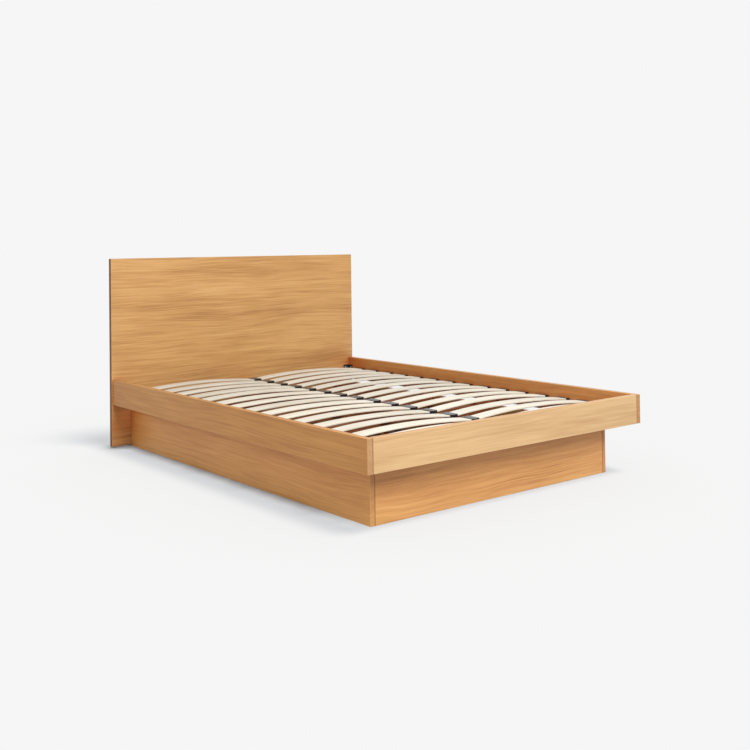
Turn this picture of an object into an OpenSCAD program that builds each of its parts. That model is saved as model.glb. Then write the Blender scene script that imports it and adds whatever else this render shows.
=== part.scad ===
// Low platform bed frame in solid pine: a plain headboard, three rails that
// overhang a recessed plinth, and two columns of sprung slats on a centre rail.
// Millimetres. +Z is up, the foot of the bed is at -Y and the headboard at +Y.
// The origin is on the floor, under the middle of the whole bed.

/* [Headboard] */
// Width of the headboard panel
headboard_w = 1612; // [1604:2:1680]
// Height of the headboard's top edge above the floor
headboard_top = 990; // [700:10:1300]
// Thickness of the headboard panel
headboard_t = 25; // [22:1:35]
// Clearance under the headboard, taken up by its glides
headboard_clearance = 6; // [4:1:12]

/* [Rails] */
// Width across the outer faces of the side rails
frame_w = 1600; // [1400:10:1600]
// Length from the foot rail's outer face to the headboard's front face
frame_len = 2090; // [2080:5:2200]
// Thickness of the three rails
rail_t = 25; // [22:1:30]
// Height of the three rails
rail_h = 130; // [125:5:160]
// Height of the rails' top edge above the floor
rail_top = 356; // [340:2:420]

/* [Plinth] */
// Thickness of the plinth's panels
plinth_t = 22; // [20:1:25]
// Distance of the plinth's sides behind the side rails' outer faces
plinth_inset_side = 105; // [80:5:160]
// Distance of the plinth's front behind the foot rail's outer face
plinth_inset_foot = 115; // [80:5:125]

/* [Slats] */
// Number of slats in each column
slat_rows = 15; // [12:1:15]
// Width of a slat
slat_w = 63; // [50:1:70]
// Thickness of a slat
slat_t = 8; // [6:1:10]
// Rise of a slat's middle above the line through its ends
slat_crown = 22; // [10:1:28]
// Height of a slat's end above the ledge at the side rail
side_seat = 8; // [6:1:12]
// Height of a slat's end above the centre rail
centre_seat = 14; // [10:1:20]

/* [Inner frame] */
// Depth of the slat ledges' top edge below the rails' top edge
ledge_drop = 76; // [66:1:80]
// Thickness of the slat ledges
ledge_t = 25; // [22:1:30]
// Height of the slat ledges
ledge_h = 40; // [40:1:50]
// Width of the centre rail
centre_rail_w = 60; // [50:2:80]
// Thickness of a cross bearer
bearer_t = 40; // [30:2:50]
// Height of a cross bearer
bearer_h = 57; // [50:1:70]
// Side of a centre leg's square section
leg_w = 45; // [40:1:60]

/* [Hidden] */
$fn = 48;
slat_fn = 720;

// Play between a pin or screw and its hole, and how far a cutting shape runs past the face it cuts
clearance = 0.1;
overshoot = 1;

bearers = 4;
legged_bearers = [2, 3];

// Heights above the floor
rail_bottom = rail_top - rail_h;
ledge_top = rail_top - ledge_drop;
plinth_h = rail_bottom;
bearer_bottom = plinth_h - bearer_h;
centre_rail_h = ledge_top - plinth_h;
carrier_t = ledge_top - ledge_h - plinth_h;

// Places along the bed
foot_y = -(frame_len + headboard_t) / 2;
head_y = foot_y + frame_len;
foot_inner_y = foot_y + rail_t;
plinth_y = foot_y + plinth_inset_foot;
plinth_len = head_y - plinth_y;

// Places across the bed, measured from its middle
rail_inner_x = frame_w / 2 - rail_t;
ledge_inner_x = rail_inner_x - ledge_t;
plinth_x = frame_w / 2 - plinth_inset_side;
plinth_inner_x = plinth_x - plinth_t;

// The slats are spread evenly between the foot rail and the headboard
slat_pitch = (frame_len - rail_t) / (slat_rows + 1);

// Screws: one radius, three lengths, and how far each goes into the far piece
screw_r = 2.5;
head_r = 4.8;
head_h = 2.6;
bite = 13;

// Corner brackets, bent from steel plate
bracket_plate = 3;
bracket_leg = 40;
bracket_h = 50;
bracket_drop = 46;
bracket_high = rail_top - bracket_drop;
bracket_screw_reach = 26;
bracket_screw_edge = 15;

// Bearer brackets, smaller ones of the same kind
clip_leg = 30;
clip_h = 30;
clip_low = bearer_bottom + (bearer_h - clip_h) / 2;
clip_screw_reach = bracket_plate + clip_leg / 2;

// Ledge ends stop short of the corner brackets
ledge_end_gap = 55;
ledge_screws = 6;
ledge_screw_margin = 70;

// Rail carriers: flat strips from each bearer's ends out to the side rails' ledges
carrier_w = 40;
carrier_hold = 60;
carrier_screw_in = 30;

// Corner blocks inside the plinth, with the heights of their screws along X and along Y
block_w = 30;
block_low = 20;
block_h = 180;
block_screw_x_heights = [60, 160];
block_screw_y_heights = [90, 130];

// Wooden dowels
dowel_r = 4;
corner_dowel_len = 40;
corner_dowel_in_rail = 13;
corner_dowel_edge = 35;
leg_dowel_len = 30;

// Bolts that hold the plinth to the headboard
bolt_r = 4;
bolt_bite = 16;
bolt_head_af = 13;
bolt_head_h = 5;
bolt_flange_r = 9;
bolt_flange_h = 2;
bolt_x = 400;
bolt_heights = [70, 160];

// Glides under the headboard
glide_r = 11;
glide_pin_r = 1.5;
glide_pin_len = 14;
glide_x = 700;

// Slat holders
holder_wall = 2.5;
holder_gap = 0.4;
holder_depth = 18;
holder_end = 7;
holder_base_w = 34;
holder_base_gap = 1;
holder_peg_r = 4;
holder_peg_len = 15;
centre_end = 5;

// A slat is an arc in the XZ plane between its two seats
side_end = [rail_inner_x - holder_end, ledge_top + side_seat];
mid_end = [centre_end, ledge_top + centre_seat];
chord = norm(side_end - mid_end);
chord_tilt = atan2(mid_end.y - side_end.y, side_end.x - mid_end.x);
slat_r = (chord * chord / 4 + slat_crown * slat_crown) / (2 * slat_crown);
end_slope = asin(chord / 2 / slat_r);

function row_y(row) = foot_inner_y + row * slat_pitch;

// Each bearer lies midway between two rows of slats, clear of the holders' pegs
function rows_before(n) = round((n - 0.5) * slat_rows / bearers);
function bearer_y(n) = foot_inner_y + (rows_before(n) + 0.5) * slat_pitch;

function two_digits(n) = n < 10 ? str("0", n) : str(n);
function slat_name(side, row) = str("slat_", side, "_", two_digits(row));

// ---- Helpers ----

// A box from its two corners
module block(low, high) {
    translate(low) cube(high - low);
}

// The children on the right, and mirrored on the left
module both_sides() {
    children();
    mirror([1, 0, 0]) children();
}

// The children on one side only: "right" as drawn, "left" mirrored
module on_side(side) {
    if (side == "right") children();
    if (side == "left") mirror([1, 0, 0]) children();
}

// Turns the children so that their +Z points along X or Y, forwards or backwards
module point_x(way) {
    rotate([0, way * 90, 0]) children();
}

module point_y(way) {
    rotate([-way * 90, 0, 0]) children();
}

// ---- Fasteners ----

// A screw that points along +Z, with the underside of its head at the origin
module screw(len) {
    cylinder(r = screw_r, h = len);
    translate([0, 0, -head_h]) cylinder(r = head_r, h = head_h);
}

// A hole along +Z from the origin, open at both ends
module bore(r, len) {
    translate([0, 0, -overshoot]) cylinder(r = r + clearance, h = len + 2 * overshoot);
}

// Places of the bracket screws on one corner bracket, which runs towards -Y (way -1) or +Y
module at_corner_bracket_screws(corner_y, way) {
    low = bracket_high - bracket_h + bracket_screw_edge;
    high = bracket_high - bracket_screw_edge;
    for (z = [low, high])
        translate([rail_inner_x, corner_y, z]) {
            translate([-bracket_plate, way * bracket_screw_reach, 0]) point_x(1) children();
            translate([-bracket_screw_reach, way * bracket_plate, 0]) point_y(-way) children();
        }
}

// Places of the bracket screws on the bearer brackets
module at_bearer_bracket_screws() {
    for (n = [1:bearers])
        translate([plinth_inner_x, bearer_y(n) + bearer_t / 2, clip_low + clip_h / 2]) {
            translate([-bracket_plate, clip_screw_reach, 0]) point_x(1) children();
            translate([-clip_screw_reach, bracket_plate, 0]) point_y(-1) children();
        }
}

module at_bracket_screws() {
    both_sides() {
        at_corner_bracket_screws(head_y, -1) children();
        at_corner_bracket_screws(foot_inner_y, 1) children();
        at_bearer_bracket_screws() children();
    }
}

// Places of the screws that hold the ledges to the rails
module at_ledge_screws() {
    low = foot_inner_y + ledge_end_gap + ledge_screw_margin;
    high = head_y - ledge_end_gap - ledge_screw_margin;
    both_sides()
        for (i = [0:ledge_screws - 1])
            translate([ledge_inner_x, low + (high - low) * i / (ledge_screws - 1), ledge_top - ledge_h / 2])
                point_x(1) children();
}

// Places of the screws that hold one corner block, beside the panel whose inner face is at corner_y
module at_one_blocks_screws(corner_y, way) {
    for (z = block_screw_x_heights)
        translate([plinth_inner_x - block_w, corner_y + way * block_w / 2, z]) point_x(1) children();
    for (z = block_screw_y_heights)
        translate([plinth_inner_x - block_w / 2, corner_y + way * block_w, z]) point_y(-way) children();
}

module at_block_screws() {
    both_sides() {
        at_one_blocks_screws(plinth_y + plinth_t, 1) children();
        at_one_blocks_screws(head_y - plinth_t, -1) children();
    }
}

// Places of the screws in the rail carriers: down into the bearers, and up into the ledges
module at_carrier_screws() {
    both_sides()
        for (n = [1:bearers])
            translate([0, bearer_y(n), plinth_h]) {
                translate([plinth_inner_x - carrier_screw_in, 0, carrier_t]) rotate([180, 0, 0]) children();
                translate([rail_inner_x - ledge_t / 2, 0, 0]) children();
            }
}

// Places of the long screws that hold the centre rail down on the bearers and the plinth
module at_centre_rail_screws() {
    bearer_ys = [for (n = [1:bearers]) bearer_y(n)];
    for (y = concat(plinth_y + plinth_t / 2, bearer_ys, head_y - plinth_t / 2))
        translate([0, y, ledge_top]) rotate([180, 0, 0]) children();
}

// Places of the bolts that hold the plinth's head panel to the headboard
module at_headboard_bolts() {
    both_sides()
        for (z = bolt_heights)
            translate([bolt_x, head_y - plinth_t, z]) point_y(1) children();
}

module at_corner_dowels() {
    both_sides()
        for (z = [rail_bottom + corner_dowel_edge, rail_top - corner_dowel_edge])
            translate([rail_inner_x + corner_dowel_in_rail, foot_y + rail_t / 2, z]) point_x(-1) children();
}

module at_leg_dowels() {
    for (n = legged_bearers)
        translate([0, bearer_y(n), bearer_bottom - leg_dowel_len / 2]) children();
}

module at_glides() {
    for (x = [-glide_x, 0, glide_x])
        translate([x, head_y + headboard_t / 2, 0]) children();
}

// Everything that is drilled in the wooden boards for screws, dowels, bolts and pins
module bores() {
    at_bracket_screws() bore(screw_r, bracket_plate + bite);
    at_ledge_screws() bore(screw_r, ledge_t + bite);
    at_block_screws() bore(screw_r, block_w + bite);
    at_carrier_screws() bore(screw_r, carrier_t + bite);
    at_centre_rail_screws() bore(screw_r, centre_rail_h + 2 * bite);
    at_headboard_bolts() bore(bolt_r, plinth_t + bolt_bite);
    at_corner_dowels() bore(dowel_r, corner_dowel_len);
    at_leg_dowels() bore(dowel_r, leg_dowel_len);
    at_glides() bore(glide_pin_r, headboard_clearance + glide_pin_len);
}

module bored() {
    difference() {
        children();
        bores();
    }
}

// ---- Boards ----

module headboard_panel() {
    color("burlywood")
        bored() block(
            [-headboard_w / 2, head_y, headboard_clearance],
            [headboard_w / 2, head_y + headboard_t, headboard_top]
        );
}

module side_rail(side) {
    color("peru")
        on_side(side)
            bored() block([rail_inner_x, foot_y, rail_bottom], [frame_w / 2, head_y, rail_top]);
}

module foot_rail() {
    color("burlywood")
        bored() block([-rail_inner_x, foot_y, rail_bottom], [rail_inner_x, foot_inner_y, rail_top]);
}

module plinth_side(side) {
    color("peru")
        on_side(side)
            bored() block([plinth_inner_x, plinth_y, 0], [plinth_x, head_y, plinth_h]);
}

// A plinth panel across the bed, between the plinth's sides
module plinth_cross(low_y) {
    color("burlywood")
        bored() block([-plinth_inner_x, low_y, 0], [plinth_inner_x, low_y + plinth_t, plinth_h]);
}

// ---- Inner frame ----

module slat_ledge(side) {
    color("sandybrown")
        on_side(side)
            difference() {
                bored() block(
                    [ledge_inner_x, foot_inner_y + ledge_end_gap, ledge_top - ledge_h],
                    [rail_inner_x, head_y - ledge_end_gap, ledge_top]
                );
                holder_peg_bores(rail_inner_x - ledge_t / 2);
            }
}

// The centre rail lies on the bearers and on the plinth's front and head
module centre_rail() {
    color("sandybrown")
        difference() {
            bored() block(
                [-centre_rail_w / 2, foot_inner_y, plinth_h],
                [centre_rail_w / 2, head_y, ledge_top]
            );
            holder_peg_bores(0);
        }
}

// A bearer runs between the plinth's sides, with its top level with theirs
module cross_bearer(n) {
    color("sandybrown")
        bored() block(
            [-plinth_inner_x, bearer_y(n) - bearer_t / 2, bearer_bottom],
            [plinth_inner_x, bearer_y(n) + bearer_t / 2, plinth_h]
        );
}

module centre_legs() {
    color("sandybrown")
        for (n = legged_bearers)
            bored() block(
                [-leg_w / 2, bearer_y(n) - leg_w / 2, 0],
                [leg_w / 2, bearer_y(n) + leg_w / 2, bearer_bottom]
            );
}

// The side rails hang beyond the plinth: their ledges rest on these strips
module rail_carriers() {
    color("sandybrown")
        both_sides()
            for (n = [1:bearers])
                bored() block(
                    [plinth_inner_x - carrier_hold, bearer_y(n) - carrier_w / 2, plinth_h],
                    [rail_inner_x, bearer_y(n) + carrier_w / 2, plinth_h + carrier_t]
                );
}

module plinth_corner_blocks() {
    color("sandybrown")
        both_sides()
            for (low_y = [plinth_y + plinth_t, head_y - plinth_t - block_w])
                bored() block(
                    [plinth_inner_x - block_w, low_y, block_low],
                    [plinth_inner_x, low_y + block_w, block_low + block_h]
                );
}

// ---- Hardware ----

// An angle of bent plate with its corner at the origin and its legs along -X and +Y
module angle(leg, height) {
    translate([-leg, 0, 0]) cube([leg, bracket_plate, height]);
    translate([-bracket_plate, 0, 0]) cube([bracket_plate, leg, height]);
}

module drilled_angle() {
    difference() {
        children();
        at_bracket_screws() bore(screw_r, bracket_plate);
    }
}

module headboard_brackets() {
    color("dimgray")
        drilled_angle()
            both_sides()
                translate([rail_inner_x, head_y, bracket_high - bracket_h])
                    mirror([0, 1, 0]) angle(bracket_leg, bracket_h);
}

module foot_brackets() {
    color("dimgray")
        drilled_angle()
            both_sides()
                translate([rail_inner_x, foot_inner_y, bracket_high - bracket_h])
                    angle(bracket_leg, bracket_h);
}

module bearer_brackets() {
    color("dimgray")
        drilled_angle()
            both_sides()
                for (n = [1:bearers])
                    translate([plinth_inner_x, bearer_y(n) + bearer_t / 2, clip_low]) angle(clip_leg, clip_h);
}

module bracket_screws() {
    color("silver") at_bracket_screws() screw(bracket_plate + bite);
}

module frame_screws() {
    color("silver") {
        at_ledge_screws() screw(ledge_t + bite);
        at_block_screws() screw(block_w + bite);
        at_carrier_screws() screw(carrier_t + bite);
    }
}

module centre_rail_screws() {
    color("silver") at_centre_rail_screws() screw(centre_rail_h + 2 * bite);
}

module headboard_bolts() {
    color("silver")
        at_headboard_bolts() {
            cylinder(r = bolt_r, h = plinth_t + bolt_bite);
            translate([0, 0, -bolt_flange_h]) cylinder(r = bolt_flange_r, h = bolt_flange_h);
            translate([0, 0, -bolt_flange_h - bolt_head_h])
                cylinder(d = bolt_head_af / cos(30), h = bolt_head_h, $fn = 6);
        }
}

module wooden_dowels() {
    color("wheat") {
        at_corner_dowels() cylinder(r = dowel_r, h = corner_dowel_len);
        at_leg_dowels() cylinder(r = dowel_r, h = leg_dowel_len);
    }
}

module headboard_glides() {
    color("gainsboro")
        at_glides() {
            cylinder(r = glide_r, h = headboard_clearance);
            cylinder(r = glide_pin_r, h = headboard_clearance + glide_pin_len);
        }
}

// ---- Slats and their holders ----

// Moves the children to a slat's end: X along the slat into its span, Z square to it, Y across it
module at_side_end() {
    translate([side_end.x, 0, side_end.y])
        rotate([0, end_slope + chord_tilt, 0])
            mirror([1, 0, 0]) children();
}

module at_mid_end() {
    translate([mid_end.x, 0, mid_end.y]) rotate([0, chord_tilt - end_slope, 0]) children();
}

module holder_sleeve() {
    half_w = slat_w / 2 + holder_gap + holder_wall;
    block(
        [-holder_gap - holder_wall, -half_w, -holder_gap - holder_wall],
        [holder_depth, half_w, slat_t + holder_gap + holder_wall]
    );
}

module holder_slot() {
    half_w = slat_w / 2 + holder_gap;
    block([-holder_gap, -half_w, -holder_gap], [holder_depth + overshoot, half_w, slat_t + holder_gap]);
}

module holder_peg(x) {
    translate([x, 0, ledge_top - holder_peg_len]) cylinder(r = holder_peg_r, h = holder_peg_len + 1);
}

module holder_peg_bores(x) {
    for (row = [1:slat_rows])
        translate([x, row_y(row), ledge_top - holder_peg_len]) bore(holder_peg_r, holder_peg_len);
}

// A single holder on the right-hand ledge
module side_holder() {
    difference() {
        union() {
            at_side_end() holder_sleeve();
            block(
                [ledge_inner_x + holder_base_gap, -holder_base_w / 2, ledge_top],
                [rail_inner_x - holder_base_gap, holder_base_w / 2, side_end.y]
            );
            holder_peg(rail_inner_x - ledge_t / 2);
        }
        at_side_end() holder_slot();
    }
}

// A double holder on the centre rail, one sleeve to each side
module centre_holder() {
    base_x = centre_end + holder_depth / 2;
    difference() {
        union() {
            both_sides() at_mid_end() holder_sleeve();
            block([-base_x, -holder_base_w / 2, ledge_top], [base_x, holder_base_w / 2, mid_end.y]);
            block(
                [-centre_end, -slat_w / 2, mid_end.y - holder_wall],
                [centre_end, slat_w / 2, mid_end.y + slat_t]
            );
            holder_peg(0);
        }
        both_sides() at_mid_end() holder_slot();
    }
}

module slat_holders(side) {
    color("dimgray")
        on_side(side)
            for (row = [1:slat_rows])
                translate([0, row_y(row), 0]) side_holder();
}

module slat_holders_centre() {
    color("dimgray")
        for (row = [1:slat_rows])
            translate([0, row_y(row), 0]) centre_holder();
}

// A slat is the stretch of a thick ring that lies between its two end faces
module slat(side, row) {
    middle = (side_end + mid_end) / 2;
    color("antiquewhite")
        on_side(side)
            translate([middle.x, row_y(row) + slat_w / 2, middle.y])
                rotate([90, chord_tilt, 0])
                    linear_extrude(height = slat_w)
                        intersection() {
                            translate([0, slat_crown - slat_r])
                                difference() {
                                    circle(r = slat_r + slat_t, $fn = slat_fn);
                                    circle(r = slat_r, $fn = slat_fn);
                                }
                            translate([-chord / 2, -slat_crown]) square([chord, 3 * slat_crown]);
                        }
}

// ---- The bed ----

headboard_panel();
side_rail("left");  // side_rail_left
side_rail("right");  // side_rail_right
foot_rail();
plinth_side("left");  // plinth_side_left
plinth_side("right");  // plinth_side_right
plinth_cross(plinth_y);  // plinth_front
plinth_cross(head_y - plinth_t);  // plinth_head
slat_ledge("left");  // slat_ledge_left
slat_ledge("right");  // slat_ledge_right
centre_rail();
centre_legs();
rail_carriers();
plinth_corner_blocks();
headboard_brackets();
foot_brackets();
bearer_brackets();
slat_holders("left");  // slat_holders_left
slat_holders("right");  // slat_holders_right
slat_holders_centre();
headboard_glides();
wooden_dowels();
headboard_bolts();
bracket_screws();
frame_screws();
centre_rail_screws();
for (n = [1:bearers])
    cross_bearer(n);
for (row = [1:slat_rows]) {
    slat("left", row);
    slat("right", row);
}
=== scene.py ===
"""A low pine platform bed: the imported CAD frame, dressed with detailed pieces and materials.

Metres, in the CAD's own frame: +Z up, +Y from the foot to the headboard, the origin on the floor.
Boards, brackets and slat holders are worked up from the CAD's shapes. Slats, screws, bolts, dowels
and glides are built again in finer detail, where the CAD has them.
"""

import math
import random

import bmesh
import bpy
from mathutils import Matrix, Vector


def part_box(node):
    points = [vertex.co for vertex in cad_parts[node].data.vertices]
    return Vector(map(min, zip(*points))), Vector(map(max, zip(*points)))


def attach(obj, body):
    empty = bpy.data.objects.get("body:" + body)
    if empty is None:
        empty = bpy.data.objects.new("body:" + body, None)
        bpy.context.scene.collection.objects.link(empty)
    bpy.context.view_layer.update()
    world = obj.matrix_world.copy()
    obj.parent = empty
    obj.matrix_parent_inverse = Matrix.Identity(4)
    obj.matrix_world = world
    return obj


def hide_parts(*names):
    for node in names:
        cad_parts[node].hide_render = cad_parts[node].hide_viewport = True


MM = 0.001
random.seed(12)

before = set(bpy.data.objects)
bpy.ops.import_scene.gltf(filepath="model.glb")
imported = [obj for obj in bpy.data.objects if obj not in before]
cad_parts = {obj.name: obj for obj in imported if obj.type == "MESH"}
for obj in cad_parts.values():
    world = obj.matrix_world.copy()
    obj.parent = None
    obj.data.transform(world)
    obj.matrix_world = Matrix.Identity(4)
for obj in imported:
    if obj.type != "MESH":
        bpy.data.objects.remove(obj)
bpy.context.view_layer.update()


# ---- Measures ----

# Meshes: vertices closer than WELD are one, faces that differ by less than LEVEL are one flat face, and
# edges steeper than SHARP look sharp
WELD = 1e-6
LEVEL = math.radians(0.5)
SHARP = math.radians(40)

# Softened corners of boards and of the moulded slat holders
ARRIS_ANGLE = math.radians(50)
ARRIS_RADIUS = 1.6 * MM
INNER_ARRIS_RADIUS = 1.0 * MM
SHORTEST_ARRIS = 12 * MM
HOLDER_RADIUS = 0.7 * MM
SHORTEST_HOLDER_EDGE = 8 * MM

# Wood: the span between two rings, the length of trunk that pieces are cut from, and how boards differ
PINE_RING = 9 * MM
TRUNK_LENGTH = 40
BOARD_SHADES = (0.985, 1.015)

# Boards' wear and painted shade: the reach of a seam's stain, the share of its tint, which paints in light
# and shade, that a top face loses, the reach of the painted shade in inner corners, and the height below
# which the floor's light fades that painted shade
SEAM_REACH = 3 * MM
TOP_TINT_LOSS = 0.5
CORNER_REACH = 260 * MM
LIT_FROM_FLOOR = 160 * MM

# Slats: their plies, counted from well below the slat so that no depth is negative, their section, the
# steps along them, and how they differ from each other
SLAT_PLY = 1.35 * MM
PLY_START = 10 * SLAT_PLY
SLAT_CORNER_RADIUS = 2.2 * MM
SLAT_STEPS = 28
SLAT_END_GAP = 0.002
SLAT_SHADES = (0.77, 0.90)
SLAT_WARMTHS = (1.0, 1.03)
SLAT_LIFTS = (-2.2 * MM, 1.0 * MM)
SLAT_TILT = math.radians(1.2)

# Brackets of bent plate
BRACKET_PLATE = 3 * MM
PLATE_CORNER_RADIUS = 5 * MM
BEND_INNER_RADIUS = 2 * MM
BEND_OUTER_RADIUS = 5 * MM
SHORTEST_BEND = 25 * MM


def srgb(red, green, blue):
    """A colour from its usual 0 to 255 values, as the linear values that Blender takes."""
    def linear(value):
        share = value / 255
        return share / 12.92 if share <= 0.04045 else ((share + 0.055) / 1.055) ** 2.4
    return (linear(red), linear(green), linear(blue), 1.0)


HONEY_BOARDS = (
    "headboard_panel", "side_rail_left", "side_rail_right", "foot_rail",
    "plinth_side_left", "plinth_side_right", "plinth_front", "plinth_head",
)
BOARD_BOXES = {node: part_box(node) for node in HONEY_BOARDS}


# ---- Materials ----

class Shader:
    """One material's node tree. A value is a number, a colour or another node's output."""

    def __init__(self, name, **sockets):
        self.material = bpy.data.materials.new(name)
        self.material.use_nodes = True
        self.tree = self.material.node_tree
        self.surface = self.tree.nodes["Principled BSDF"]
        for socket, value in sockets.items():
            self.feed(self.surface.inputs[socket.replace("_", " ")], value)

    def feed(self, socket, value):
        if isinstance(value, bpy.types.NodeSocket):
            self.tree.links.new(value, socket)
        else:
            socket.default_value = value

    def add(self, kind, inputs=(), **settings):
        node = self.tree.nodes.new("ShaderNode" + kind)
        for name, value in settings.items():
            setattr(node, name, value)
        for socket, value in dict(inputs).items():
            self.feed(node.inputs[socket], value)
        return node

    def attribute(self, name, output="Fac"):
        return self.add("Attribute", attribute_name=name).outputs[output]

    def object_place(self):
        return self.add("TexCoord").outputs["Object"]

    def openness(self, reach):
        """1 in the open, and less the more a point is shut in by what lies within reach."""
        return self.add("AmbientOcclusion", {"Distance": reach}, samples=6).outputs["AO"]

    def math(self, operation, first, second=0.0):
        return self.add("Math", {0: first, 1: second}, operation=operation).outputs[0]

    def coordinate(self, place, axis):
        return self.add("SeparateXYZ", {0: place}).outputs[axis]

    def length(self, place):
        return self.add("VectorMath", {0: place}, operation="LENGTH").outputs["Value"]

    def scaled(self, place, factors):
        return self.add("VectorMath", {0: place, 1: factors}, operation="MULTIPLY").outputs[0]

    def sum(self, first, second):
        return self.add("VectorMath", {0: first, 1: second}, operation="ADD").outputs[0]

    def drift(self, place, reach):
        """A smooth random displacement of up to about half the reach."""
        colour = self.add("TexNoise", {"Vector": place, "Scale": 1.0, "Detail": 1.5}).outputs["Color"]
        centred = self.add("VectorMath", {0: colour, 1: (0.5, 0.5, 0.5)}, operation="SUBTRACT").outputs[0]
        return self.scaled(centred, (0.0, 2 * reach, 2 * reach))

    def noise(self, place, scale, detail=2.0, roughness=0.5):
        inputs = {"Vector": place, "Scale": scale, "Detail": detail, "Roughness": roughness}
        return self.add("TexNoise", inputs).outputs["Fac"]

    def spread(self, value, low, high, to_low=0.0, to_high=1.0):
        """Value taken smoothly from one range to another, and held at its ends."""
        inputs = {"Value": value, "From Min": low, "From Max": high, "To Min": to_low, "To Max": to_high}
        return self.add("MapRange", inputs, interpolation_type="SMOOTHSTEP").outputs["Result"]

    def mix(self, share, first, second, blend="MIX"):
        node = self.add("Mix", {0: share, 6: first, 7: second}, data_type="RGBA", blend_type=blend)
        return node.outputs[2]

    def ramp(self, value, stops):
        """Colours along a value: stops are (place, colour)."""
        node = self.add("ValToRGB", {"Fac": value})
        elements = node.color_ramp.elements
        elements[0].position, elements[0].color = stops[0]
        elements[1].position, elements[1].color = stops[-1]
        for place, colour in stops[1:-1]:
            elements.new(place).color = colour
        return node.outputs["Color"]

    def bump(self, height, depth, strength=1.0):
        node = self.add("Bump", {"Strength": strength, "Distance": depth, "Height": height})
        self.feed(self.surface.inputs["Normal"], node.outputs["Normal"])

    def colour(self, value):
        self.feed(self.surface.inputs["Base Color"], value)

    def roughness(self, value):
        self.feed(self.surface.inputs["Roughness"], value)


def add_up(shader, terms):
    """The sum of value times weight over a list of (value, weight)."""
    total = 0.0
    for value, weight in terms:
        node = shader.add("Math", {0: value, 1: weight, 2: total}, operation="MULTIPLY_ADD")
        total = node.outputs[0]
    return total


def trunk_position(shader, place):
    """How far along the trunk a point sat, and how far from its pith, around which the shells wander
    and ripple a little."""
    wander = shader.drift(shader.scaled(place, (0.9, 2.0, 2.0)), 0.045)
    ripple = shader.drift(shader.scaled(place, (4.0, 16.0, 16.0)), 0.006)
    bent = shader.sum(shader.sum(place, wander), ripple)
    return shader.coordinate(place, "X"), shader.length(shader.scaled(bent, (0.0, 1.0, 1.0)))


def late_wood_lines(shader, distance, share):
    """A thin dark line at each ring, where share is high."""
    ring = shader.math("FRACT", shader.math("MULTIPLY", distance, 1 / PINE_RING))
    line = shader.math("MULTIPLY", shader.spread(ring, 0.45, 0.9), shader.spread(ring, 0.92, 1.0, 1.0, 0.0))
    return shader.math("MULTIPLY", line, shader.spread(share, 0.5, 0.75))


def worn_stained_and_shaded(shader, colour, streaks):
    """The colour with arrises rubbed paler here and there, which also paints a highlight on them, dark stain
    in seams, and painted shade in inner corners.
    """
    # Rubbed arrises are paler, which also paints a highlight along them
    rubbed_and_highlit = shader.math("MULTIPLY", shader.attribute("arris"), shader.spread(streaks, 0.35, 0.6, 0.1, 0.35))
    colour = shader.mix(rubbed_and_highlit, colour, RUBBED_ARRIS_AND_HIGHLIGHT)
    colour = shader.mix(shader.math("MULTIPLY", shader.attribute("seam"), 0.7), colour, SEAM_STAIN)
    # Painted shade: inner corners shut in by other boards are darkened and reddened, less so close to the
    # floor
    shut_in = shader.spread(shader.openness(CORNER_REACH), 0.2, 0.9, 0.92, 0.0)
    height = shader.coordinate(shader.object_place(), "Z")
    corner = shader.math("MULTIPLY", shut_in, shader.spread(height, 0.0, LIT_FROM_FLOOR, 0.25, 1.0))
    return shader.mix(corner, colour, CORNER_SHADE, "MULTIPLY")


def pine(name, stops, gloss):
    """Sawn pine. The "grain" attribute holds where each point sat in its trunk: X runs along the pith."""
    shader = Shader(name, Specular_IOR_Level=0.3, Coat_Weight=gloss, Coat_Roughness=0.35)
    place = shader.attribute("grain", "Vector")
    length, distance = trunk_position(shader, place)

    def shells(along, across, detail):
        """Noise drawn out along the trunk, that follows the shells."""
        where = shader.add("CombineXYZ", {
            0: shader.math("MULTIPLY", length, along),
            1: shader.math("MULTIPLY", distance, across),
        }).outputs[0]
        return shader.noise(where, 1.0, detail, 0.55)

    bands = shells(0.6, 14.0, 2.0)
    streaks = shells(2.8, 95.0, 3.0)
    fine = shells(6.0, 300.0, 2.0)
    patches = shader.noise(shader.scaled(place, (2.2, 6.0, 6.0)), 1.0, 2.0)
    fibres = shader.noise(shader.scaled(place, (16.0, 1000.0, 1000.0)), 1.0, 2.0, 0.6)
    late_wood = late_wood_lines(shader, distance, shells(1.2, 26.0, 1.0))

    tone = add_up(shader, [
        (bands, 0.36),
        (streaks, 0.54),
        (fine, 0.32),
        (patches, 0.24),
        (fibres, 0.10),
        (late_wood, 0.20),
    ])
    contrast = shader.math("SUBTRACT", shader.spread(tone, 0.45, 1.15), 0.5)
    contrast = shader.math("MULTIPLY", contrast, shader.attribute("figure"))
    colour = shader.ramp(shader.math("ADD", contrast, 0.5), stops)

    # End grain drinks up more lacquer
    end = shader.attribute("end_grain")
    colour = shader.mix(shader.math("MULTIPLY", end, 0.30), colour, stops[-1][1])
    colour = shader.mix(1.0, colour, shader.attribute("tone", "Color"), "MULTIPLY")
    shader.colour(worn_stained_and_shaded(shader, colour, streaks))
    shader.roughness(add_up(shader, [(streaks, 0.16), (late_wood, -0.05), (end, 0.15), (0.42, 1.0)]))
    shader.bump(add_up(shader, [(fibres, 0.6), (late_wood, 0.6), (fine, 0.5)]), 0.14 * MM)
    return shader.material


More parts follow.
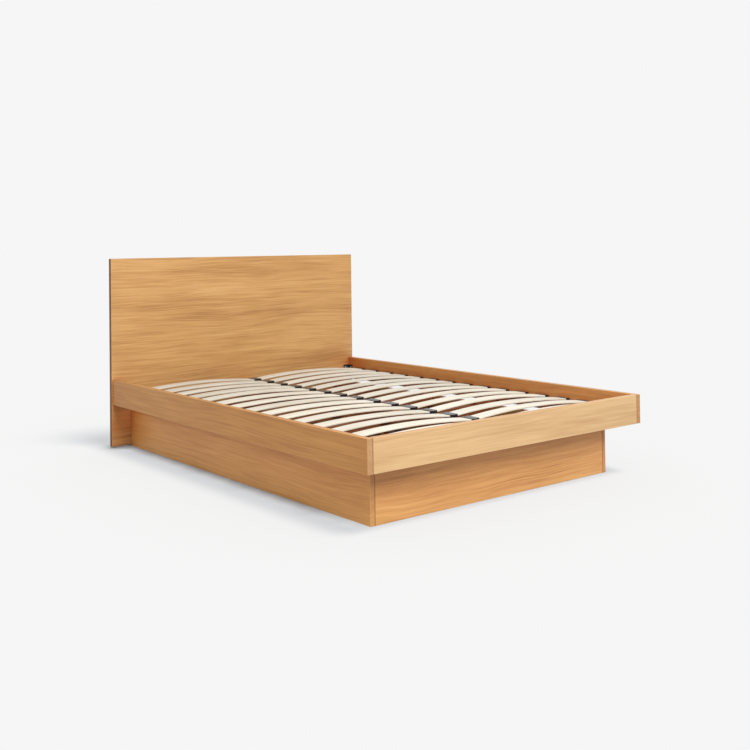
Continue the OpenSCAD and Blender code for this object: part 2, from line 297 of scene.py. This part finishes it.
def slat_birch():
    """Pale laminated birch. The edges show the plies, and the faces a faint straight grain."""
    shader = Shader("slat_birch", Specular_IOR_Level=0.3)
    place = shader.attribute("grain", "Vector")
    streaks = shader.noise(shader.scaled(place, (3.0, 130.0, 130.0)), 1.0, 4.0, 0.6)
    patches = shader.noise(shader.scaled(place, (4.0, 14.0, 14.0)), 1.0, 2.0)
    flecks = shader.noise(shader.scaled(place, (60.0, 900.0, 900.0)), 1.0, 2.0, 0.7)
    tone = add_up(shader, [(streaks, 0.55), (patches, 0.45), (flecks, 0.2)])
    face = shader.ramp(shader.spread(tone, 0.4, 0.85), [
        (0.0, srgb(229, 223, 208)),
        (0.5, srgb(221, 213, 196)),
        (1.0, srgb(206, 194, 172)),
    ])
    depth = shader.attribute("depth")
    glue = shader.math("GREATER_THAN", shader.math("FRACT", shader.math("DIVIDE", depth, SLAT_PLY)), 0.86)
    two_plies = shader.math("FRACT", shader.math("DIVIDE", depth, 2 * SLAT_PLY))
    cross_ply = shader.math("GREATER_THAN", two_plies, 0.5)
    edge = shader.mix(shader.math("MULTIPLY", cross_ply, 0.2), face, srgb(222, 206, 178))
    edge = shader.mix(shader.math("MULTIPLY", glue, 0.2), edge, srgb(165, 140, 110))
    colour = shader.mix(shader.attribute("sawn_edge"), face, edge)
    shader.colour(shader.mix(1.0, colour, shader.attribute("tone", "Color"), "MULTIPLY"))
    shader.roughness(add_up(shader, [(streaks, 0.2), (0.42, 1.0)]))
    shader.bump(add_up(shader, [(flecks, 0.5), (streaks, 0.6), (glue, -0.5)]), 0.10 * MM)
    return shader.material


def moulded_plastic(name, colour, roughness):
    """Moulded plastic with a fine spark-eroded texture, slight flow marks, and dust on what faces up, which
    also paints a grey sheen there.
    """
    shader = Shader(name, Specular_IOR_Level=0.5)
    place = shader.object_place()
    grit = shader.noise(place, 2600.0, 2.0)
    flow = shader.noise(shader.scaled(place, (30.0, 90.0, 60.0)), 1.0, 3.0)
    pale = tuple(min(1.0, value * 1.9 + 0.01) for value in colour[:3]) + (1.0,)
    marked = shader.mix(shader.spread(flow, 0.35, 0.7, 0.0, 0.5), colour, pale)
    # Dust on upward faces, which also paints the grey sheen of lit tops
    facing_up = shader.coordinate(shader.add("NewGeometry").outputs["Normal"], "Z")
    settled = shader.spread(flow, 0.2, 0.8, 0.35, 0.75)
    dust_and_sheen = shader.math("MULTIPLY", shader.spread(facing_up, 0.7, 0.98), settled)
    shader.colour(shader.mix(dust_and_sheen, marked, SETTLED_DUST_AND_SHEEN))
    shader.roughness(add_up(shader, [(flow, 0.2), (grit, 0.1), (roughness - 0.15, 1.0)]))
    shader.bump(grit, 0.05 * MM, 0.6)
    return shader.material


def powder_coat():
    """Black powder coat on steel: fine orange peel, and a little rubbing at random."""
    shader = Shader("powder_coated_steel", Specular_IOR_Level=0.5, Coat_Weight=0.25, Coat_Roughness=0.35)
    place = shader.object_place()
    peel = shader.noise(place, 900.0, 2.0)
    rub = shader.spread(shader.noise(place, 60.0, 4.0, 0.7), 0.6, 0.8)
    shader.colour(shader.mix(rub, srgb(24, 24, 26), srgb(58, 57, 56)))
    shader.roughness(add_up(shader, [(peel, 0.15), (rub, -0.12), (0.42, 1.0)]))
    shader.bump(peel, 0.06 * MM, 0.8)
    return shader.material


def bright_zinc():
    """Zinc-plated steel with turning marks and dull patches."""
    shader = Shader("bright_zinc", Metallic=1.0)
    place = shader.object_place()
    cloud = shader.noise(place, 240.0, 3.0)
    scratch = shader.noise(shader.scaled(place, (4000.0, 500.0, 4000.0)), 1.0, 2.0)
    shader.colour(shader.mix(cloud, srgb(214, 215, 212), srgb(170, 172, 176)))
    shader.roughness(add_up(shader, [(cloud, 0.25), (scratch, 0.1), (0.14, 1.0)]))
    shader.bump(scratch, 0.02 * MM, 0.5)
    return shader.material


def raw_beech():
    """Beech dowels, with the short flecks of their rays."""
    shader = Shader("raw_beech", Specular_IOR_Level=0.25)
    place = shader.object_place()
    fleck = shader.spread(shader.noise(shader.scaled(place, (900.0, 900.0, 900.0)), 1.0, 2.0), 0.58, 0.7)
    soft = shader.noise(place, 130.0, 3.0)
    base = shader.mix(soft, srgb(222, 190, 148), srgb(196, 158, 114))
    shader.colour(shader.mix(shader.math("MULTIPLY", fleck, 0.5), base, srgb(150, 108, 72)))
    shader.roughness(add_up(shader, [(soft, 0.2), (0.5, 1.0)]))
    shader.bump(fleck, 0.05 * MM, 0.5)
    return shader.material


HONEY = [
    (0.0, srgb(201, 155, 101)),
    (0.4, srgb(187, 138, 85)),
    (0.75, srgb(170, 120, 71)),
    (1.0, srgb(142, 94, 52)),
]
REDDISH = [
    (0.0, srgb(176, 122, 80)),
    (0.4, srgb(156, 102, 64)),
    (0.75, srgb(136, 82, 50)),
    (1.0, srgb(104, 58, 36)),
]
SEAM_STAIN = srgb(70, 42, 22)
# Rubbed arrises, paler, which also paints a highlight on them
RUBBED_ARRIS_AND_HIGHLIGHT = srgb(206, 168, 128)
# Painted shade in inner corners, reddened
CORNER_SHADE = (0.82, 0.36, 0.16, 1.0)
# Dust, and a painted sheen, on faces that point up
SETTLED_DUST_AND_SHEEN = srgb(104, 102, 98)

honey_pine = pine("honey_pine", HONEY, 0.15)
inner_pine = pine("inner_pine", REDDISH, 0.0)
birch = slat_birch()
black_plastic = moulded_plastic("black_plastic", srgb(14, 14, 15), 0.30)
grey_plastic = moulded_plastic("grey_plastic", srgb(146, 143, 138), 0.5)
black_steel = powder_coat()
zinc = bright_zinc()
beech = raw_beech()


# ---- Shapes ----

def cad_shape(node):
    """A working copy of a CAD node's mesh, with its triangles merged back into flat faces."""
    bm = bmesh.new()
    bm.from_mesh(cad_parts[node].data)
    bmesh.ops.remove_doubles(bm, verts=bm.verts, dist=WELD)
    bmesh.ops.dissolve_limit(bm, angle_limit=LEVEL, verts=bm.verts, edges=bm.edges)
    return bm


def solids(bm):
    """The mesh's separate solids, as lists of vertices."""
    found = []
    left = set(bm.verts)
    while left:
        group = []
        queue = [left.pop()]
        while queue:
            vert = queue.pop()
            group.append(vert)
            for edge in vert.link_edges:
                other = edge.other_vert(vert)
                if other in left:
                    left.remove(other)
                    queue.append(other)
        found.append(group)
    return sorted(found, key=lambda group: tuple(round(value, 4) for value in middle(group)))


def corners(verts):
    """The lowest and highest corner of some vertices' box."""
    low = Vector(min(v.co[i] for v in verts) for i in range(3))
    high = Vector(max(v.co[i] for v in verts) for i in range(3))
    return low, high


def middle(verts):
    low, high = corners(verts)
    return (low + high) / 2


def is_arris(edge, shortest):
    """True on an outward corner between flat faces. The rims of drilled holes are too short to count."""
    if not (edge.is_manifold and edge.is_convex):
        return False
    return edge.calc_face_angle() > ARRIS_ANGLE and edge.calc_length() > shortest


def round_off(bm, edges, radius, segments=3):
    made = bmesh.ops.bevel(
        bm, geom=edges, offset=radius, offset_type="OFFSET", segments=segments,
        profile=0.5, affect="EDGES", clamp_overlap=True,
    )
    return made["faces"]


def piece(node, bm, material):
    """Turns a finished mesh into the visible piece that stands for a CAD node."""
    bmesh.ops.recalc_face_normals(bm, faces=bm.faces)
    for face in bm.faces:
        face.smooth = True
    mesh = bpy.data.meshes.new(node + "_detail")
    bm.to_mesh(mesh)
    bm.free()
    mesh.set_sharp_from_angle(angle=SHARP)
    mesh.materials.append(material)
    made = bpy.data.objects.new(node + "_detail", mesh)
    bpy.context.scene.collection.objects.link(made)
    even = made.modifiers.new("even_normals", "WEIGHTED_NORMAL")
    even.keep_sharp = True
    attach(made, "root")
    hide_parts(node)
    return made


def beside_another_board(place, own):
    """True where a point lies against another board, so in a seam."""
    for name, (low, high) in BOARD_BOXES.items():
        if name != own and all(low[i] - SEAM_REACH < place[i] < high[i] + SEAM_REACH for i in range(3)):
            return True
    return False


def skin(bm, loops):
    """A closed skin of faces over a row of vertex loops, with a cap on each end."""
    count = len(loops[0])
    for near, far in zip(loops, loops[1:]):
        for i in range(count):
            j = (i + 1) % count
            bm.faces.new((near[i], near[j], far[j], far[i]))
    bm.faces.new(list(reversed(loops[0])))
    bm.faces.new(loops[-1])


def stamp_wood(bm, node, rounded_faces, pith, tint_and_light, end_tint_and_light, figure):
    """Writes the attributes that the pine reads: place in the trunk, strength of the figure, tone,
    end grain, arrises, which are rubbed paler and carry a painted highlight, and seams. The tone carries
    the board's tint, which paints in its light and shade, and tops keep less of it. Each solid has its own
    stretch of trunk. Pith is how far its heart lies from the solid's middle, across it and through it."""
    grain = bm.verts.layers.float_vector.new("grain")
    strength = bm.verts.layers.float.new("figure")
    tones = bm.loops.layers.float_color.new("tone")
    end_grain = bm.loops.layers.float.new("end_grain")
    arris = bm.loops.layers.float.new("arris")
    seam = bm.loops.layers.float.new("seam")
    rounded_faces = set(rounded_faces)
    for group in solids(bm):
        low, high = corners(group)
        size = high - low
        along, across, through = sorted(range(3), key=lambda axis: -size[axis])
        centre = (low + high) / 2
        stretch = random.uniform(0, TRUNK_LENGTH)
        shade = random.uniform(*BOARD_SHADES)
        for vert in group:
            offset = vert.co - centre
            vert[grain] = (offset[along] + stretch, offset[across] + pith[0], offset[through] + pith[1])
            vert[strength] = figure
        for face in {face for vert in group for face in vert.link_faces}:
            is_end = abs(face.normal[along]) > 0.9
            face_tint_and_light = end_tint_and_light if is_end else tint_and_light
            # Tops keep only part of the tint's painted light and shade
            if face.normal.z > 0.9:
                face_tint_and_light = [value + TOP_TINT_LOSS * (1 - value) for value in face_tint_and_light]
            in_seam = face in rounded_faces and beside_another_board(face.calc_center_median(), node)
            for loop in face.loops:
                loop[tones] = (shade * face_tint_and_light[0], shade * face_tint_and_light[1], shade * face_tint_and_light[2], 1.0)
                loop[end_grain] = float(is_end)
                loop[arris] = float(face in rounded_faces and not in_seam)
                loop[seam] = float(in_seam)


def board(node, material, slot, pith, tint_and_light=(1, 1, 1), end_tint_and_light=(1, 1, 1), figure=1.0,
          radius=ARRIS_RADIUS):
    """A board or block of wood with softened arrises. Its holes are the CAD's."""
    bm = cad_shape(node)
    bm.normal_update()
    rounded_faces = round_off(bm, [edge for edge in bm.edges if is_arris(edge, SHORTEST_ARRIS)], radius)
    bm.normal_update()
    stamp_wood(bm, node, rounded_faces, pith, tint_and_light, end_tint_and_light, figure)
    return piece(node, bm, material)


# ---- Turned pieces: screws, bolts, dowels and glides ----

def stance(group):
    """Where a turned CAD solid stands: the matrix that puts a piece's wide end and its +Z axis in the
    solid's place, and the solid's length."""
    low, high = corners(group)
    size = high - low
    axis = min(range(3), key=lambda i: abs(size[i - 1] - size[i - 2]))
    centre = (low + high) / 2

    def reach(end):
        near = [v.co for v in group if abs(v.co[axis] - end) < 0.1 * MM]
        return max((co - centre).length_squared - (co[axis] - centre[axis]) ** 2 for co in near)

    forwards = reach(low[axis]) >= reach(high[axis])
    start = centre.copy()
    start[axis] = low[axis] if forwards else high[axis]
    direction = Vector((0, 0, 0))
    direction[axis] = 1 if forwards else -1
    turn = direction.to_track_quat("Z", "Y").to_matrix().to_4x4()
    return Matrix.Translation(start) @ turn, size[axis]


def lathe(bm, stand, rings, segments):
    """A turned solid. Rings are (distance along the axis, radius), and a radius may depend on the angle."""
    loops = []
    for distance, radius in rings:
        loop = []
        for i in range(segments):
            angle = 2 * math.pi * i / segments
            r = radius(angle) if callable(radius) else radius
            place = Vector((r * math.cos(angle), r * math.sin(angle), distance))
            loop.append(bm.verts.new(stand @ place))
        loops.append(loop)
    skin(bm, loops)


def cross_recess(reach):
    """The outline of a cross-head driver's recess."""
    def radius(angle):
        return reach * (0.38 + 0.62 * abs(math.cos(2 * angle)) ** 3)
    return radius


def hexagon(across_flats):
    def radius(angle):
        return across_flats / 2 / math.cos(angle % (math.pi / 3) - math.pi / 6)
    return radius


def fluted(outer, depth, flutes):
    def radius(angle):
        return outer - depth * (0.5 + 0.5 * math.cos(flutes * angle)) ** 2
    return radius


def thread(start, end, root, crest, pitch):
    """Rings of a thread, turn by turn: up to the crest, along it and down to the root."""
    rings = []
    turns = max(1, int((end - start) / pitch))
    for turn in range(turns):
        z = start + turn * pitch
        rings += [
            (z, root),
            (z + 0.42 * pitch, crest),
            (z + 0.52 * pitch, crest),
            (z + 0.94 * pitch, root),
        ]
    return rings


def screw_rings(length):
    """A pan-head wood screw with a cross recess."""
    shank = 2.5 * MM
    head = 4.8 * MM
    head_h = 2.6 * MM
    rings = [
        (1.7 * MM, 0.5 * MM),
        (1.5 * MM, cross_recess(1.6 * MM)),
        (0.05 * MM, cross_recess(2.2 * MM)),
        (0.0, 2.5 * MM),
        (0.35 * MM, 3.7 * MM),
        (1.0 * MM, 4.5 * MM),
        (1.8 * MM, head),
        (head_h, head - 0.2 * MM),
        (head_h, shank),
    ]
    tip = length - 6 * MM
    rings += thread(head_h + 4 * MM, tip, 1.7 * MM, shank, 2.2 * MM)
    return rings + [(tip + 3 * MM, 1.2 * MM), (length - 0.2 * MM, 0.2 * MM)]


def bolt_rings(length):
    """A flanged hexagon bolt."""
    head_h = 5 * MM
    flange_h = 2 * MM
    shank = 4 * MM
    return [
        (0.0, 5.6 * MM),
        (0.6 * MM, hexagon(12.6 * MM)),
        (1.0 * MM, hexagon(13 * MM)),
        (head_h, hexagon(13 * MM)),
        (head_h + 0.3 * MM, 7.9 * MM),
        (head_h + flange_h - 0.8 * MM, 8.8 * MM),
        (head_h + flange_h, 9 * MM),
        (head_h + flange_h, shank),
        *thread(head_h + flange_h + 12 * MM, length - 3 * MM, 3.4 * MM, shank, 1.25 * MM),
        (length, 3.0 * MM),
    ]


def dowel_rings(length):
    """A fluted dowel with chamfered ends."""
    r = 4 * MM
    body = fluted(r, 0.35 * MM, 12)
    return [(0.0, r - 0.9 * MM), (1.4 * MM, body), (length - 1.4 * MM, body), (length, r - 0.9 * MM)]


def glide_rings(length):
    """A nail-in glide: a rounded disc with a thin pin."""
    r = 11 * MM
    disc_h = 6 * MM
    return [
        (0.0, r - 2.4 * MM),
        (0.3 * MM, r - 1.2 * MM),
        (1.2 * MM, r - 0.2 * MM),
        (2.2 * MM, r),
        (disc_h - 0.6 * MM, r),
        (disc_h, r - 0.6 * MM),
        (disc_h, 1.5 * MM),
        (length - 2 * MM, 1.5 * MM),
        (length, 0.3 * MM),
    ]


def turned(node, rings, material, segments=24):
    """Every solid of a CAD node, built again on the lathe."""
    cad = cad_shape(node)
    bm = bmesh.new()
    for group in solids(cad):
        stand, length = stance(group)
        lathe(bm, stand, rings(length), segments)
    cad.free()
    return piece(node, bm, material)


# ---- Slats ----

def circle_through(a, b, c):
    """The centre and radius of the circle through three points in the XZ plane."""
    rows = Matrix(((b.x - a.x, b.y - a.y), (c.x - a.x, c.y - a.y)))
    half = Vector(((b.length_squared - a.length_squared) / 2, (c.length_squared - a.length_squared) / 2))
    centre = rows.inverted() @ half
    return centre, (a - centre).length


def slat_section(width, thickness, radius, steps=3):
    """The outline of a slat's cross-section with rounded corners, as (across, depth) points."""
    points = []
    for corner in range(4):
        side_y = 1 if corner in (0, 3) else -1
        side_z = 1 if corner in (0, 1) else -1
        for i in range(steps + 1):
            angle = math.pi / 2 * (corner + i / steps)
            points.append((
                side_y * (width / 2 - radius) + radius * math.cos(angle),
                side_z * (thickness / 2 - radius) + radius * math.sin(angle),
            ))
    return points


def slat_arc(node):
    """The arc that a CAD slat follows: its centre, inner and outer radius, and start and end angle."""
    outline = sorted({(round(v.co.x, 5), round(v.co.z, 5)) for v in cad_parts[node].data.vertices})
    near_bottom, near_top = sorted((Vector(p) for p in outline[:2]), key=lambda p: p.y)
    far_top = max((Vector(p) for p in outline[-2:]), key=lambda p: p.y)
    crest = Vector(max(outline, key=lambda p: p[1]))
    centre, outer = circle_through(near_top, crest, far_top)
    inner = (near_bottom - centre).length
    start, end = (math.atan2(p.y - centre.y, p.x - centre.x) for p in (near_top, far_top))
    return centre, inner, outer, start, end


def slat(node):
    """A bowed slat: a rounded section swept along the CAD solid's arc. Each one's middle is a little
    higher or lower than the CAD's, and tilted, as bent laminate is."""
    low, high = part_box(node)
    centre, inner, outer, start, end = slat_arc(node)
    thickness = outer - inner
    mid_r = outer - thickness / 2
    mid_y = (low.y + high.y) / 2
    section = slat_section(high.y - low.y, thickness, SLAT_CORNER_RADIUS)
    shade = random.uniform(*SLAT_SHADES)
    warmth = random.uniform(*SLAT_WARMTHS)
    stretch = random.uniform(0, TRUNK_LENGTH)
    lift = random.uniform(*SLAT_LIFTS)
    tilt = random.uniform(-SLAT_TILT, SLAT_TILT)

    bm = bmesh.new()
    grain = bm.verts.layers.float_vector.new("grain")
    tones = bm.verts.layers.float_color.new("tone")
    depths = bm.verts.layers.float.new("depth")
    sawn_edge = bm.loops.layers.float.new("sawn_edge")
    loops = []
    for i in range(SLAT_STEPS + 1):
        share = SLAT_END_GAP + (1 - 2 * SLAT_END_GAP) * i / SLAT_STEPS
        angle = start + (end - start) * share
        middleness = math.sin(math.pi * share)
        loop = []
        for across, depth in section:
            reach = mid_r + depth + (lift + math.tan(tilt) * across) * middleness
            vert = bm.verts.new((
                centre.x + reach * math.cos(angle),
                mid_y + across,
                centre.y + reach * math.sin(angle),
            ))
            vert[grain] = (mid_r * angle + stretch, across + mid_y, depth)
            vert[tones] = (shade, shade * warmth ** 0.5, shade * warmth, 1.0)
            vert[depths] = depth + PLY_START
            loop.append(vert)
        loops.append(loop)
    skin(bm, loops)
    bm.normal_update()
    for face in bm.faces:
        side = abs(face.normal.y) > 0.6 or len(face.verts) > 4
        for corner in face.loops:
            corner[sawn_edge] = float(side)
    return piece(node, bm, birch)


# ---- Brackets and slat holders ----

def is_plate_corner(edge):
    """True on a square corner that runs through a bracket's plate."""
    through_plate = abs(edge.calc_length() - BRACKET_PLATE) < 0.05 * MM
    return through_plate and edge.is_convex and edge.calc_face_angle() > math.radians(80)


def is_bend(edge):
    """True on an upright edge between two large faces, where a bracket's legs meet."""
    smallest = min(face.calc_area() for face in edge.link_faces)
    upright = abs((edge.verts[0].co - edge.verts[1].co).normalized().z) > 0.99
    return upright and edge.calc_length() > SHORTEST_BEND and smallest > SHORTEST_BEND ** 2


def bracket(node):
    """Bent plate brackets: a round bend, and rounded plate corners."""
    bm = cad_shape(node)
    bm.normal_update()
    edges = [edge for edge in bm.edges if edge.is_manifold]
    plate_corners = [edge for edge in edges if is_plate_corner(edge)]
    bends = [edge for edge in edges if is_bend(edge)]
    bends_out = [edge for edge in bends if edge.is_convex]
    bends_in = [edge for edge in bends if not edge.is_convex]
    round_off(bm, plate_corners, PLATE_CORNER_RADIUS, 5)
    round_off(bm, [edge for edge in bends_in if edge.is_valid], BEND_INNER_RADIUS, 4)
    round_off(bm, [edge for edge in bends_out if edge.is_valid], BEND_OUTER_RADIUS, 5)
    return piece(node, bm, black_steel)


def holders(node):
    """Moulded slat holders with softened edges."""
    bm = cad_shape(node)
    bm.normal_update()
    round_off(bm, [edge for edge in bm.edges if is_arris(edge, SHORTEST_HOLDER_EDGE)], HOLDER_RADIUS, 2)
    return piece(node, bm, black_plastic)


# ---- The bed ----

def nodes_named(*starts):
    """The CAD's nodes whose names start in one of these ways, in order."""
    return sorted(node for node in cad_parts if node.startswith(starts))


def build_boards():
    honey = {"material": honey_pine, "slot": "honey_pine"}
    inner = {"material": inner_pine, "slot": "inner_pine", "radius": INNER_ARRIS_RADIUS}
    # The tints and end tints paint light and shade into each board's colour, face by face: the left rail and
    # the right rail's inner face darker, the foot rail paler and less saturated, the headboard's end faces
    # dark
    board("headboard_panel", **honey, pith=(0.55, 0.20), tint_and_light=(0.965, 1.01, 0.96),
          end_tint_and_light=(0.36, 0.27, 0.19), figure=1.1)
    board("side_rail_left", **honey, pith=(0.16, 0.10), tint_and_light=(0.89, 0.775, 0.50),
          end_tint_and_light=(0.80, 0.87, 1.04), figure=0.95)
    board("side_rail_right", **honey, pith=(0.16, 0.10), tint_and_light=(1.0, 0.93, 0.75),
          end_tint_and_light=(0.85, 0.82, 0.72), figure=0.85)
    board("plinth_side_left", **honey, pith=(-0.26, 0.12), tint_and_light=(1.17, 1.15, 0.89),
          end_tint_and_light=(0.95, 1.05, 1.0), figure=0.9)
    board("plinth_side_right", **honey, pith=(-0.02, 0.11))
    board("foot_rail", **honey, pith=(0.16, 0.12), tint_and_light=(0.92, 1.15, 1.53), figure=0.7)
    board("plinth_front", **honey, pith=(0.28, 0.12), tint_and_light=(1.01, 1.05, 0.96))
    board("plinth_head", **honey, pith=(0.02, 0.10))
    for node in ("slat_ledge_left", "slat_ledge_right", "centre_rail", "plinth_corner_blocks"):
        board(node, **inner, pith=(0.03, 0.06))
    for node in nodes_named("cross_bearer"):
        board(node, **inner, pith=(0.03, 0.06))
    for node in ("centre_legs", "rail_carriers"):
        board(node, **inner, pith=(0.03, 0.05))


def build_hardware():
    for node in ("headboard_brackets", "foot_brackets", "bearer_brackets"):
        bracket(node)
    for node in ("bracket_screws", "frame_screws", "centre_rail_screws"):
        turned(node, screw_rings, zinc)
    turned("headboard_bolts", bolt_rings, zinc)
    turned("wooden_dowels", dowel_rings, beech, 48)
    turned("headboard_glides", glide_rings, grey_plastic, 40)


def build_slats():
    for side in ("left", "right", "centre"):
        holders(f"slat_holders_{side}")
    for node in nodes_named("slat_left", "slat_right"):
        slat(node)


# ---- Camera, floor and light ----

CAMERA_PLACE = (-3.0543, -3.7986, 1.0444)
CAMERA_HEADING = math.radians(-37.17)
CAMERA_TILT = math.radians(90 + 1.095)
CAMERA_ROLL = math.radians(-0.675)
CAMERA_LENS = 47.68
CAMERA_SHIFT = (0.066, -0.1975)

BACKGROUND = 0.9216
KEY_PLACE = Vector((-0.8, -4.0, 3.2))
KEY_AIM = Vector((-0.2, -0.6, 0.3))
KEY_SIZE = 2.2
KEY_POWER = 230
TOP_FROM = Vector((0.12, -0.45, 1.0)).normalized()
TOP_WIDTH = math.radians(23)
TOP_POWER = 5.4
FLOOR_ALBEDO = 0.17
FLOOR_TINT = (1.08, 1.0, 0.93)
CONTACT_REACH = 90 * MM
CONTACT_START = 500 * MM
FLOOR_REACH = 300.0
# Painted shade: the colour of the floor inside the plinth
INNER_FLOOR_SHADE = (0.06, 0.035, 0.025, 1.0)


def make_camera():
    """Stands off the foot's left corner, a little above the headboard's top, and looks across the bed."""
    data = bpy.data.cameras.new("camera")
    data.lens = CAMERA_LENS
    data.shift_x, data.shift_y = CAMERA_SHIFT
    camera = bpy.data.objects.new("camera", data)
    bpy.context.scene.collection.objects.link(camera)
    heading = Matrix.Rotation(CAMERA_HEADING, 4, "Z")
    tilt = Matrix.Rotation(CAMERA_TILT, 4, "X")
    roll = Matrix.Rotation(CAMERA_ROLL, 4, "Z")
    camera.matrix_world = Matrix.Translation(CAMERA_PLACE) @ heading @ tilt @ roll
    bpy.context.scene.camera = camera


def pale_floor():
    """A floor whose glow makes it as bright as the sky where nothing shades it. The glow fades close to
    the bed's sides and head, a painted contact shadow, but not along its foot."""
    shader = Shader("pale_floor", Roughness=1.0, Specular_IOR_Level=0.0, Emission_Strength=1.0)
    albedo = [FLOOR_ALBEDO * share for share in FLOOR_TINT]
    top_light = TOP_POWER * TOP_FROM.z / math.pi
    glow = [BACKGROUND - value * (BACKGROUND + top_light) for value in albedo]
    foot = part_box("plinth_front")[0].y
    along = shader.coordinate(shader.object_place(), "Y")
    # Painted contact shadow: the glow fades where the bed shuts the floor in
    shut_in = shader.spread(shader.openness(CONTACT_REACH), 0.55, 1.0, 0.75, 0.0)
    painted_contact_shadow = shader.math("MULTIPLY", shut_in, shader.spread(along, foot, foot + CONTACT_START))
    shader.colour((*albedo, 1.0))
    faded_glow = shader.mix(painted_contact_shadow, (*glow, 1.0), (0.0, 0.0, 0.0, 1.0))
    shader.feed(shader.surface.inputs["Emission Color"], faded_glow)
    return shader.material


def make_floor():
    """The floor to the horizon. It doesn't glow inside the plinth, and there it has a dark warm colour,
    painted shade.
    """
    shaded_inside = Shader("shaded_floor_inside", Roughness=1.0, Specular_IOR_Level=0.0)
    shaded_inside.colour(INNER_FLOOR_SHADE)

    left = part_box("plinth_side_left")[1].x
    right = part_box("plinth_side_right")[0].x
    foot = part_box("plinth_front")[1].y
    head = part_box("plinth_head")[0].y
    across = (-FLOOR_REACH, left, right, FLOOR_REACH)
    along = (-FLOOR_REACH, foot, head, FLOOR_REACH)
    bm = bmesh.new()
    rows = [[bm.verts.new((x, y, 0)) for x in across] for y in along]
    for near, far in zip(rows, rows[1:]):
        for i in range(3):
            bm.faces.new((near[i], near[i + 1], far[i + 1], far[i]))
    # The middle one of the nine faces is the one inside the plinth, with the painted shade
    bm.faces.ensure_lookup_table()
    bm.faces[4].material_index = 1
    mesh = bpy.data.meshes.new("floor")
    bm.to_mesh(mesh)
    bm.free()
    mesh.materials.append(pale_floor())
    mesh.materials.append(shaded_inside.material)
    floor = bpy.data.objects.new("floor", mesh)
    bpy.context.scene.collection.objects.link(floor)
    return floor


def add_light(name, kind, power, towards_light):
    """A light, turned so that it shines from the direction given."""
    data = bpy.data.lights.new(name, kind)
    data.energy = power
    light = bpy.data.objects.new(name, data)
    light.rotation_mode = "QUATERNION"
    light.rotation_quaternion = towards_light.to_track_quat("Z", "Y")
    light.visible_camera = False
    bpy.context.scene.collection.objects.link(light)
    return light


def link_to_floor(light, floor, state):
    """Makes a light fall on the floor only ("INCLUDE"), or on all but the floor ("EXCLUDE")."""
    receivers = bpy.data.collections.new(light.name + "_receivers")
    receivers.objects.link(floor)
    light.light_linking.receiver_collection = receivers
    receivers.collection_objects[0].light_linking.link_state = state


def make_light(floor):
    """An even white surround, a wide soft key light in front that leaves the floor even, and a light
    from above that only gives the bed its shadow on the floor."""
    world = bpy.data.worlds.new("studio")
    bpy.context.scene.world = world
    world.use_nodes = True
    sky = world.node_tree.nodes["Background"]
    sky.inputs["Color"].default_value = (BACKGROUND, BACKGROUND, BACKGROUND, 1.0)
    sky.inputs["Strength"].default_value = 1.0

    key = add_light("key", "AREA", KEY_POWER, KEY_PLACE - KEY_AIM)
    key.location = KEY_PLACE
    key.data.size = KEY_SIZE
    link_to_floor(key, floor, "EXCLUDE")
    top = add_light("top", "SUN", TOP_POWER, TOP_FROM)
    top.data.angle = TOP_WIDTH
    link_to_floor(top, floor, "INCLUDE")
    bpy.context.scene.view_settings.view_transform = "Standard"


make_camera()
make_light(make_floor())
build_boards()
build_hardware()
build_slats()
